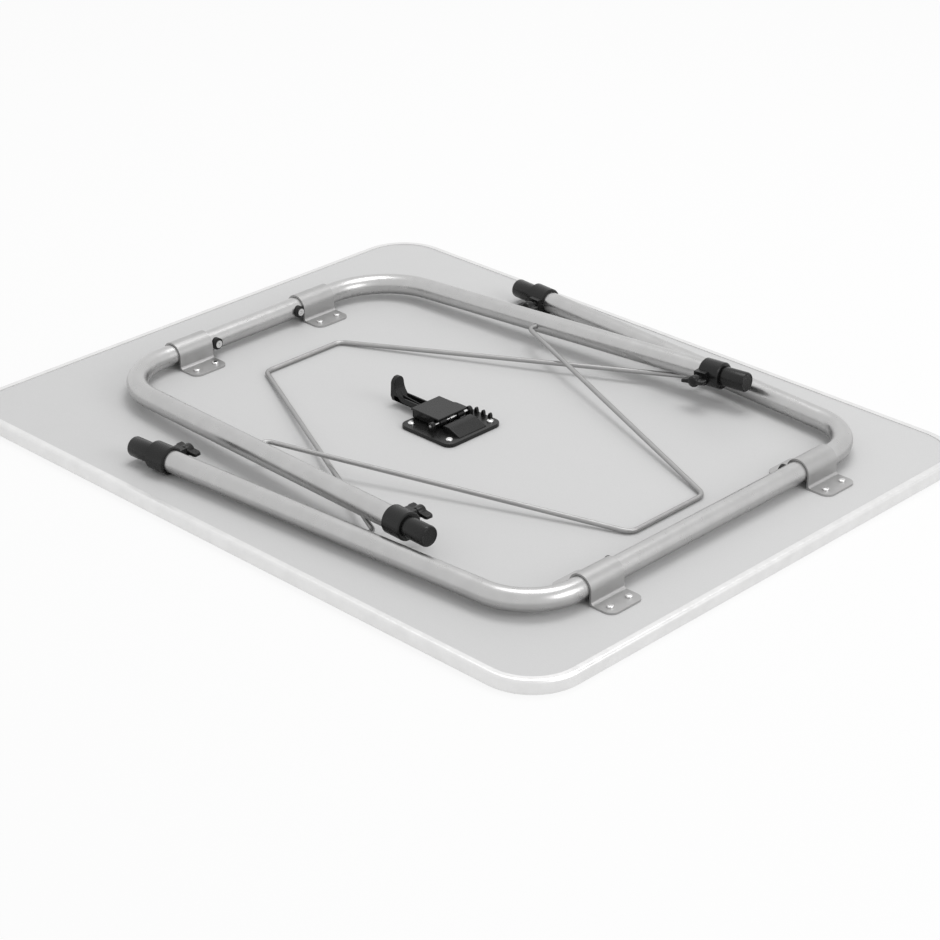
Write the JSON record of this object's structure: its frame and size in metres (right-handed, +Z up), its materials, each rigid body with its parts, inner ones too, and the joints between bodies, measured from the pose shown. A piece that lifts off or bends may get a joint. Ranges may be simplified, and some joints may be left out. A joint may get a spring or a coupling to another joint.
{
  "type": "folding camping table",
  "caption": "Rectangular camper table with a rounded edge trim, lying face down with two tubular leg frames, wire stays and a sprung latch folded flat on its underside.",
  "frame": {"origin": "middle of the work surface, which lies on the floor", "axes": "+X along the length of the table, +Z up out of its underside"},
  "size_m": [0.8, 0.635, 0.0589],
  "materials": {
    "board": "light grey laminate over a light board, satin",
    "trim": "pale satin edge profile",
    "leg_tube": "satin grey lacquer",
    "inner_tube": "satin",
    "clamp_metal": "satin grey",
    "bright_steel": "zinc plated",
    "black_plastic": "matt black moulding",
    "black_rubber": "matt",
    "stay_wire": "satin grey wire"
  },
  "bodies": {
    "table": {"table_board": "board", "edge_trim": "trim", "left_near_clamp": "clamp_metal", "left_far_clamp": "clamp_metal", "right_near_clamp": "clamp_metal", "right_far_clamp": "clamp_metal", "clamp_screws": "bright_steel", "latch_base": "black_plastic", "latch_pin": "bright_steel", "latch_spring": "bright_steel", "latch_screws": "bright_steel"},
    "left_leg": {"left_leg_frame": "leg_tube", "left_stop_washers": "black_rubber", "left_stop_screws": "bright_steel", "left_near_collar": "black_plastic", "left_far_collar": "black_plastic"},
    "left_stay": {"left_wire_stay": "stay_wire"},
    "left_near_slide": {"left_near_inner_tube": "inner_tube", "left_near_foot": "black_plastic"},
    "left_near_knob": {"left_near_wing_knob": "black_plastic", "left_near_wing_bolt": "bright_steel"},
    "left_far_slide": {"left_far_inner_tube": "inner_tube", "left_far_foot": "black_plastic"},
    "left_far_knob": {"left_far_wing_knob": "black_plastic", "left_far_wing_bolt": "bright_steel"},
    "right_leg": {"right_leg_frame": "leg_tube", "right_stop_washers": "black_rubber", "right_stop_screws": "bright_steel", "right_near_collar": "black_plastic", "right_far_collar": "black_plastic"},
    "right_stay": {"right_wire_stay": "stay_wire"},
    "right_near_slide": {"right_near_inner_tube": "inner_tube", "right_near_foot": "black_plastic"},
    "right_near_knob": {"right_near_wing_knob": "black_plastic", "right_near_wing_bolt": "bright_steel"},
    "right_far_slide": {"right_far_inner_tube": "inner_tube", "right_far_foot": "black_plastic"},
    "right_far_knob": {"right_far_wing_knob": "black_plastic", "right_far_wing_bolt": "bright_steel"},
    "latch_lever": {"latch_lever": "black_plastic"}
  },
  "joints": [
    {"name": "left_leg_fold", "type": "hinge", "parent": "table", "child": "left_leg", "pos_m": [-0.309, 0, 0.0287], "axis": [0, -1, 0], "range_deg": [0, 90]},
    {"name": "left_stay_swing", "type": "hinge", "parent": "left_leg", "child": "left_stay", "pos_m": [-0.07571, 0, 0.03685], "axis": [0, -1, 0], "range_deg": [-128.83, 0]},
    {"name": "left_near_foot_slide", "type": "slide", "parent": "left_leg", "child": "left_near_slide", "axis": [0.997, -0.0698, 0.0348], "range_m": [0, 0.15]},
    {"name": "left_near_knob_turn", "type": "hinge", "parent": "left_leg", "child": "left_near_knob", "pos_m": [0.14013, -0.22143, 0.04438], "axis": [0.0697, 0.9976, 0.0024], "range_deg": [0, 300]},
    {"name": "left_far_foot_slide", "type": "slide", "parent": "left_leg", "child": "left_far_slide", "axis": [0.997, 0.0698, 0.0348], "range_m": [0, 0.15]},
    {"name": "left_far_knob_turn", "type": "hinge", "parent": "left_leg", "child": "left_far_knob", "pos_m": [0.14013, 0.22143, 0.04438], "axis": [0.0697, -0.9976, 0.0024], "range_deg": [0, 300]},
    {"name": "right_leg_fold", "type": "hinge", "parent": "table", "child": "right_leg", "pos_m": [0.322, 0, 0.0287], "axis": [0, 1, 0], "range_deg": [0, 90]},
    {"name": "right_stay_swing", "type": "hinge", "parent": "right_leg", "child": "right_stay", "pos_m": [0.1175, 0, 0.0287], "axis": [0, 1, 0], "range_deg": [-127.36, 0]},
    {"name": "right_near_foot_slide", "type": "slide", "parent": "right_leg", "child": "right_near_slide", "axis": [-0.9976, -0.0698, 0], "range_m": [0, 0.15]},
    {"name": "right_near_knob_turn", "type": "hinge", "parent": "right_leg", "child": "right_near_knob", "pos_m": [-0.1274, -0.26743, 0.0287], "axis": [-0.0698, 0.9976, 0], "range_deg": [0, 300]},
    {"name": "right_far_foot_slide", "type": "slide", "parent": "right_leg", "child": "right_far_slide", "axis": [-0.9976, 0.0698, 0], "range_m": [0, 0.15]},
    {"name": "right_far_knob_turn", "type": "hinge", "parent": "right_leg", "child": "right_far_knob", "pos_m": [-0.1274, 0.26743, 0.0287], "axis": [-0.0698, -0.9976, 0], "range_deg": [0, 300]},
    {"name": "latch_lift", "type": "hinge", "parent": "table", "child": "latch_lever", "pos_m": [-0.004, -0.006, 0.0237], "axis": [0, 1, 0], "range_deg": [0, 50], "stiffness_Nm_per_rad": 0.15, "springref_deg": -11.46}
  ],
  "couplings": [
    {"joint": "left_stay_swing", "follows": "left_leg_fold", "ratio": -1.4259},
    {"joint": "right_leg_fold", "follows": "left_leg_fold", "ratio": 1},
    {"joint": "right_stay_swing", "follows": "left_leg_fold", "ratio": -1.4096}
  ]
}
